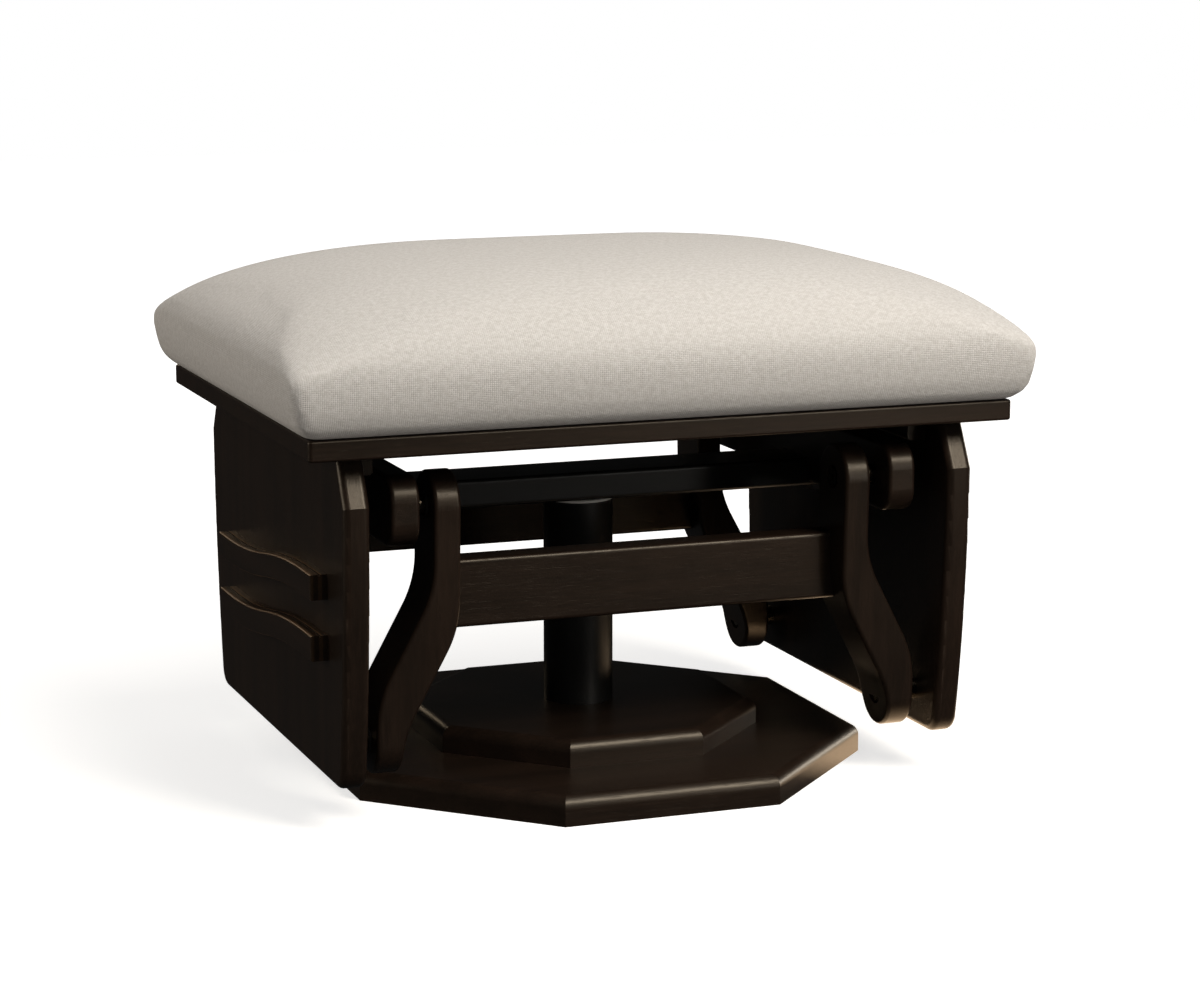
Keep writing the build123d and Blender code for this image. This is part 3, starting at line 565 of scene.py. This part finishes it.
def plywood_finish():
    """Bare plywood: face grain along X, plies showing at the edges."""
    finish = Finish("bare_plywood", Specular_IOR_Level=0.3)
    place = finish.place()
    _, _, z = finish.parts(place)
    plies = (z * (math.pi / PLY_THICKNESS)).sine() > 0.0
    grain = finish.noise(finish.stretch(place, GRAINS["x"]), PLYWOOD_GRAIN_WIDTH, detail=4.0)
    pale = finish.mix(grain, *PLYWOOD_FACE)
    finish.shade("Base Color", finish.mix(plies * 0.35, pale, PLYWOOD_CROSS_PLY))
    finish.shade("Roughness", grain * 0.2 + 0.6)
    finish.bump(grain, PLYWOOD_GRAIN_DEPTH)
    return finish.material


# ---- small helpers ----------------------------------------------------------------------

GRAIN_OF = {
    "base_plate_lower": "x", "base_plate_upper": "x",
    "rail_left": "y", "rail_right": "y",
    "front_arm_left": "z", "front_arm_right": "z",
    "rear_arm_left": "z", "rear_arm_right": "z",
    "front_stretcher": "x", "rear_stretcher": "x",
    "front_dowels": "x", "rear_dowels": "x",
    "side_panel_left": "z", "side_panel_right": "z",
    "wave_left_upper": "bent", "wave_left_lower": "bent",
    "wave_right_upper": "bent", "wave_right_lower": "bent",
    "wave_pins": "x", "seat_board": "x",
    "seat_cleat_left": "y", "seat_cleat_right": "y",
}
PIVOT_HARDWARE = (
    "upper_pivot_bolts", "lower_pivot_bolts", "upper_pivot_spacers", "lower_pivot_spacers",
)


def cover_with(nodes, material):
    """Give CAD nodes a finish."""
    for name in nodes:
        slots = NODES[name].data.materials
        slots.clear()
        slots.append(material)


def nodes_in(slot):
    return [name for name in NODES if SLOT_OF[name] == slot]


def new_piece(name, mesh, material):
    piece = bpy.data.objects.new(name, mesh)
    bpy.context.scene.collection.objects.link(piece)
    mesh.materials.clear()
    mesh.materials.append(material)
    return piece


def evaluated_mesh(piece):
    """The piece's mesh with its modifiers applied."""
    graph = bpy.context.evaluated_depsgraph_get()
    return bpy.data.meshes.new_from_object(piece.evaluated_get(graph))


def smooth(mesh):
    mesh.polygons.foreach_set("use_smooth", [True] * len(mesh.polygons))


# ---- the cushion ------------------------------------------------------------------------

SIDE_STEPS = 28
CORNER_STEPS = 14
CROWN_STEPS = 26
FOOT_STEPS = 8
QUARTER_TURNS = ((1, 0), (0, 1), (-1, 0), (0, -1))  # cosine and sine
# The corner radius at the foot, and what it gains up to the widest line, as shares of
# the radius there.
FOOT_CORNER, CORNER_GAIN = 0.7, 0.3
ROUNDEST = 0.96  # the largest corner radius, as a share of a ring's half depth
EXPECTED_TRAVEL = 0.8  # how much of the largest travel the stuffing raises the crown
CROWN_TIP = 0.0002  # height of the crown's middle over the last ring
HELD_BAND = 0.6  # height of the band that stays on the board, in mesh edges
CLOTH = {
    "quality": 8,
    "tension_stiffness": 40.0,
    "compression_stiffness": 40.0,
    "shear_stiffness": 20.0,
    "bending_stiffness": 8.0,
    "tension_damping": 25.0,
    "compression_damping": 25.0,
    "air_damping": 8.0,
}


def outline(half_x, half_y, corner, bow):
    """Points round a rectangle with round corners and sides that bow outward."""
    points = []
    for turn, (cos, sin) in enumerate(QUARTER_TURNS):
        long_side, short_side = (half_x, half_y) if turn % 2 == 0 else (half_y, half_x)
        reach = long_side - bow - corner
        out = short_side - bow
        side = []
        for step in range(SIDE_STEPS):
            share = 2.0 * step / SIDE_STEPS - 1.0
            side.append((share * reach, -out - bow * (1.0 - share * share)))
        for step in range(CORNER_STEPS):
            angle = math.radians(90.0 * step / CORNER_STEPS)
            off = corner - out - corner * math.cos(angle)
            side.append((reach + corner * math.sin(angle), off))
        points += [(along * cos - off * sin, along * sin + off * cos) for along, off in side]
    return points


def cushion_rings(settings):
    """Outlines from the board up to the crown, with their heights."""
    half_x = (CUSHION_HIGH.x - CUSHION_LOW.x) / 2 + settings.spread
    half_y = (CUSHION_HIGH.y - CUSHION_LOW.y) / 2 + settings.spread
    rise = CUSHION_HIGH.z - CUSHION_LOW.z - settings.widest - settings.travel * EXPECTED_TRAVEL
    for step in range(FOOT_STEPS):
        share = step / FOOT_STEPS
        inset = settings.foot_inset * (1.0 - math.sqrt(1.0 - (1.0 - share) ** 2))
        corner = settings.corner * (FOOT_CORNER + CORNER_GAIN * share)
        yield half_x - inset, half_y - inset, corner, settings.bow * share, settings.widest * share
    for step in range(CROWN_STEPS):
        reach = math.cos(math.pi / 2 * step / CROWN_STEPS)
        level = 1.0 - reach**settings.fullness
        diagonal = (1.0 - math.sqrt(level)) ** (1.0 / settings.fullness)
        corner = (reach - diagonal) / (1.0 - math.sqrt(0.5)) * (half_x + half_y) / 2
        corner = min(max(corner, settings.corner), ROUNDEST * half_y * reach)
        height = settings.widest + rise * level ** (1.0 / settings.falloff)
        yield half_x * reach, half_y * reach, corner, settings.bow * reach, height


def cushion_form(settings):
    """The cover's closed form, cut from rings and closed by a fan at the top and the foot."""
    form = bmesh.new()
    rings = []
    for half_x, half_y, corner, bow, height in cushion_rings(settings):
        points = outline(half_x, half_y, corner, bow)
        z = CUSHION_LOW.z + height
        rings.append([form.verts.new((x, y, z)) for x, y in points])
    for lower, upper in zip(rings, rings[1:]):
        for index in range(len(lower)):
            after = (index + 1) % len(lower)
            form.faces.new((lower[index], lower[after], upper[after], upper[index]))
    crown = form.verts.new((0.0, 0.0, rings[-1][0].co.z + CROWN_TIP))
    foot = form.verts.new((0.0, 0.0, CUSHION_LOW.z))
    for index in range(len(rings[0])):
        after = (index + 1) % len(rings[0])
        form.faces.new((rings[-1][index], rings[-1][after], crown))
        form.faces.new((rings[0][after], rings[0][index], foot))
    mesh = bpy.data.meshes.new("cushion_cover")
    form.to_mesh(mesh)
    form.free()
    return mesh


def even_out(piece, voxel):
    """Remesh a piece to an even grid."""
    remesh = piece.modifiers.new("even", "REMESH")
    remesh.mode = "VOXEL"
    remesh.voxel_size = voxel
    mesh = evaluated_mesh(piece)
    piece.modifiers.remove(remesh)
    piece.data = mesh


def stuff(piece, settings):
    """Inflate the cover with a cloth simulation and keep the result."""
    mesh = piece.data
    middle = Vector((0.0, 0.0, CUSHION_LOW.z))
    full = [vertex.co.copy() for vertex in mesh.vertices]
    for vertex in mesh.vertices:
        vertex.co = middle + (vertex.co - middle) * settings.shrink
    held = piece.vertex_groups.new(name="on_board")
    level = CUSHION_LOW.z + settings.voxel * HELD_BAND
    held.add([vertex.index for vertex in mesh.vertices if vertex.co.z < level], 1.0, "REPLACE")
    cloth = piece.modifiers.new("stuffing", "CLOTH")
    cloth.settings.use_pressure = True
    cloth.settings.uniform_pressure_force = settings.pressure
    cloth.settings.effector_weights.gravity = 0.0
    for name, value in CLOTH.items():
        setattr(cloth.settings, name, value)
    cloth.settings.vertex_group_mass = held.name
    cloth.point_cache.frame_start = 1
    cloth.point_cache.frame_end = settings.frames
    scene = bpy.context.scene
    for number in range(1, settings.frames + 1):
        scene.frame_set(number)
    graph = bpy.context.evaluated_depsgraph_get()
    settled = piece.evaluated_get(graph).data.vertices
    for vertex, place, result in zip(mesh.vertices, full, settled):
        push = result.co - place
        limit = settings.travel if push.dot(vertex.normal) > 0.0 else settings.sag
        if push.length > limit:
            push *= limit / push.length
        vertex.co = place + push
        vertex.co.z = max(vertex.co.z, CUSHION_LOW.z)
    piece.modifiers.remove(cloth)
    scene.frame_set(1)


# ---- operators --------------------------------------------------------------------------


class OTTOMAN_OT_wood(bpy.types.Operator):
    """Stain and lacquer the wooden pieces, each with its grain along its length"""

    bl_idname = "ottoman.wood"
    bl_label = "Finish the wood"

    def execute(self, context):
        settings = context.scene.ottoman_wood
        finishes = {}
        for grain in GRAINS:
            finishes[grain] = wood_finish(settings, "espresso_stain_" + grain, grain)
        finishes["bent"] = wood_finish(settings, "espresso_stain_bent", "y", bent=True)
        for name in nodes_in("espresso_wood"):
            cover_with([name], finishes[GRAIN_OF[name]])
        cover_with(nodes_in("plywood"), plywood_finish())
        return {"FINISHED"}


class OTTOMAN_OT_metal(bpy.types.Operator):
    """Finish the steel, brass and plastic pieces"""

    bl_idname = "ottoman.metal"
    bl_label = "Finish the metal and plastic"

    def execute(self, context):
        cover_with(nodes_in("black_steel"), black_steel_finish())
        cover_with(PIVOT_HARDWARE, metal_finish(*BLACK_OXIDE))
        cover_with(nodes_in("zinc_steel"), metal_finish(*ZINC))
        cover_with(nodes_in("insert_brass"), metal_finish(*BRASS))
        cover_with(nodes_in("bearing_plastic"), plastic_finish(*BLACK_PLASTIC))
        cover_with(["thrust_washer"], plastic_finish(*PALE_PLASTIC))
        return {"FINISHED"}


class OTTOMAN_OT_cushion(bpy.types.Operator):
    """Cut, stuff and cover the cushion"""

    bl_idname = "ottoman.cushion"
    bl_label = "Make the cushion"

    def execute(self, context):
        settings = context.scene.ottoman_cushion
        material = fabric_finish(context.scene.ottoman_fabric)
        piece = new_piece("cushion_cover", cushion_form(settings), material)
        even_out(piece, settings.voxel)
        stuff(piece, settings)
        soften = piece.modifiers.new("soften", "SUBSURF")
        soften.levels = 1
        soften.render_levels = 1
        mesh = evaluated_mesh(piece)
        piece.modifiers.remove(soften)
        piece.data = mesh
        mesh.materials.clear()
        mesh.materials.append(material)
        smooth(mesh)
        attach(piece, "carriage")
        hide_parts("cushion")
        return {"FINISHED"}


WARM = (1.0, 0.955, 0.89)
CREAM = (1.0, 0.93, 0.82)
GOLDEN = (1.0, 0.90, 0.76)
AMBER = (1.0, 0.80, 0.56)
LAMP_TARGET = (0.0, 0.0, 0.22)
# Place, width and height, colour. The power is a setting.
LAMPS = {
    "top": ((0.15, -0.60, 1.85), (0.5, 1.1), WARM),
    "key": ((0.85, -1.70, 1.75), (0.9, 1.0), CREAM),
    "front": ((0.95, -2.05, 0.5), (0.3, 0.9), WARM),
    "side": ((2.1, 0.75, 0.16), (0.9, 0.26), GOLDEN),
    "fill": ((-2.1, 0.35, 0.75), (1.0, 1.0), GOLDEN),
    "rim": ((-0.5, 2.2, 1.0), (0.5, 0.4), AMBER),
}
SENSOR_WIDTH = 36.0
# Distances from the floor's middle, and from the warm pool's, between which each fades
FLOOR_FADE = (0.4, 2.2)
POOL_FADE = (0.09, 0.16)
FLOOR_CLOUD_WIDTH = 0.4


def aim(thing, place, target):
    """Put a camera or lamp at a place, looking at a target."""
    thing.location = place
    direction = Vector(target) - Vector(place)
    thing.rotation_euler = direction.to_track_quat("-Z", "Y").to_euler()


def area_lamp(name, place, size, power, colour):
    lamp = bpy.data.lights.new(name, "AREA")
    lamp.shape = "RECTANGLE"
    lamp.size, lamp.size_y = size
    lamp.energy = power
    lamp.color = colour
    thing = bpy.data.objects.new(name, lamp)
    bpy.context.scene.collection.objects.link(thing)
    aim(thing, place, LAMP_TARGET)


class OTTOMAN_OT_stage(bpy.types.Operator):
    """Set the floor, the lamps, the plain light and the camera"""

    bl_idname = "ottoman.stage"
    bl_label = "Set the stage"

    def execute(self, context):
        settings = context.scene.ottoman_stage
        scene = context.scene
        scene.view_settings.view_transform = "Standard"
        self.make_world(scene, settings)
        self.make_floor(settings)
        for name, (place, size, colour) in LAMPS.items():
            power = getattr(settings, name + "_power")
            area_lamp(name + "_lamp", place, size, power, colour)
        camera = bpy.data.cameras.new("camera")
        camera.lens = settings.lens
        camera.sensor_width = SENSOR_WIDTH
        thing = bpy.data.objects.new("camera", camera)
        scene.collection.objects.link(thing)
        azimuth, elevation = settings.azimuth, settings.elevation
        back = Vector((
            math.sin(azimuth) * math.cos(elevation),
            -math.cos(azimuth) * math.cos(elevation),
            math.sin(elevation),
        ))
        target = Vector(settings.target)
        aim(thing, target + back * settings.distance, target)
        scene.camera = thing
        return {"FINISHED"}

    def make_world(self, scene, settings):
        world = bpy.data.worlds.new("plain_light")
        world.use_nodes = True
        sky = Graph(world.node_tree)
        seen = sky.rays("Is Camera Ray", "Is Transmission Ray")
        mirrored = sky.rays("Is Glossy Ray")
        level = seen + mirrored * settings.mirrored + (1.0 - seen.either(mirrored)) * settings.sky
        light = sky.node("ShaderNodeBackground", {}, {"Color": WHITE, "Strength": level})
        sky.end_with("World Output", light)
        scene.world = world

    @staticmethod
    def fade(floor, distance, between, shares):
        """Go from the first share to the second between two distances."""
        inputs = {"Value": distance, "From Min": between[0], "From Max": between[1]}
        inputs.update({"To Min": shares[0], "To Max": shares[1]})
        return floor.node("ShaderNodeMapRange", {"clamp": True}, inputs)

    def make_floor(self, settings):
        half = FLOOR_WIDTH / 2
        mesh = bpy.data.meshes.new("floor")
        corners = [(-half, -half, 0.0), (half, -half, 0.0), (half, half, 0.0), (-half, half, 0.0)]
        mesh.from_pydata(corners, [], [(0, 1, 2, 3)])
        floor = Finish("pale_floor", Roughness=0.9, Specular_IOR_Level=0.0)
        place = floor.place()
        tone = floor.noise(place, FLOOR_CLOUD_WIDTH, detail=2.0)
        floor.shade("Base Color", floor.mix(tone * 0.1, settings.floor, WHITE))
        lit = Value(floor, floor.shader.outputs[0])
        distance = floor.node("ShaderNodeVectorMath", {"operation": "LENGTH"}, {0: place}, output=1)
        far = self.fade(floor, distance, FLOOR_FADE, (0.0, 1.0))
        glow = floor.mix(far, (settings.glow,) * 3, WHITE)
        white = floor.node("ShaderNodeEmission", {}, {"Color": glow, "Strength": 1.0})
        bright = floor.node("ShaderNodeAddShader", {}, {0: lit, 1: white})
        dim = floor.node("ShaderNodeBsdfDiffuse", {}, {"Color": settings.bounce})
        seen = floor.rays("Is Camera Ray", "Is Transmission Ray")
        # The warm pool is a painted glow: the floor itself glows there, seen only in reflections,
        # to give the lacquer painted highlights; no lamp lights it.
        ends = {0: place, 1: settings.pool}
        away = floor.node("ShaderNodeVectorMath", {"operation": "DISTANCE"}, ends, output=1)
        painted_glow_share = self.fade(floor, away, POOL_FADE, (1.0, 0.0))
        plain = (settings.mirrored,) * 3
        painted_glow_colour = floor.mix(painted_glow_share, plain, settings.painted_pool_colour)
        mirrored = floor.node("ShaderNodeEmission", {}, {"Color": painted_glow_colour, "Strength": 1.0})
        unseen = floor.blend_shaders(floor.rays("Is Glossy Ray"), dim, mirrored)
        floor.end_with("Material Output", floor.blend_shaders(seen, unseen, bright))
        new_piece("floor", mesh, floor.material)


class OTTOMAN_PT_panel(bpy.types.Panel):
    """Steps that make the ottoman's looks"""

    bl_idname = "OTTOMAN_PT_panel"
    bl_label = "Glider ottoman"
    bl_space_type = "VIEW_3D"
    bl_region_type = "UI"
    bl_category = "Ottoman"

    def draw(self, context):
        for operator in OPERATORS:
            self.layout.operator(operator.bl_idname)
        for name in SETTINGS:
            box = self.layout.box()
            group = getattr(context.scene, name)
            for key in group.__annotations__:
                box.prop(group, key)


OPERATORS = (OTTOMAN_OT_wood, OTTOMAN_OT_metal, OTTOMAN_OT_cushion, OTTOMAN_OT_stage)
SETTINGS = {
    "ottoman_wood": WoodSettings,
    "ottoman_fabric": FabricSettings,
    "ottoman_cushion": CushionSettings,
    "ottoman_stage": StageSettings,
}


def register():
    for name, group in SETTINGS.items():
        bpy.utils.register_class(group)
        setattr(bpy.types.Scene, name, bpy.props.PointerProperty(type=group))
    for kind in OPERATORS + (OTTOMAN_PT_panel,):
        bpy.utils.register_class(kind)


def unregister():
    for kind in reversed(OPERATORS + (OTTOMAN_PT_panel,)):
        bpy.utils.unregister_class(kind)
    for name, group in SETTINGS.items():
        delattr(bpy.types.Scene, name)
        bpy.utils.unregister_class(group)


def main():
    register()
    bpy.ops.ottoman.wood()
    bpy.ops.ottoman.metal()
    bpy.ops.ottoman.cushion()
    bpy.ops.ottoman.stage()


if __name__ == "__main__":
    main()
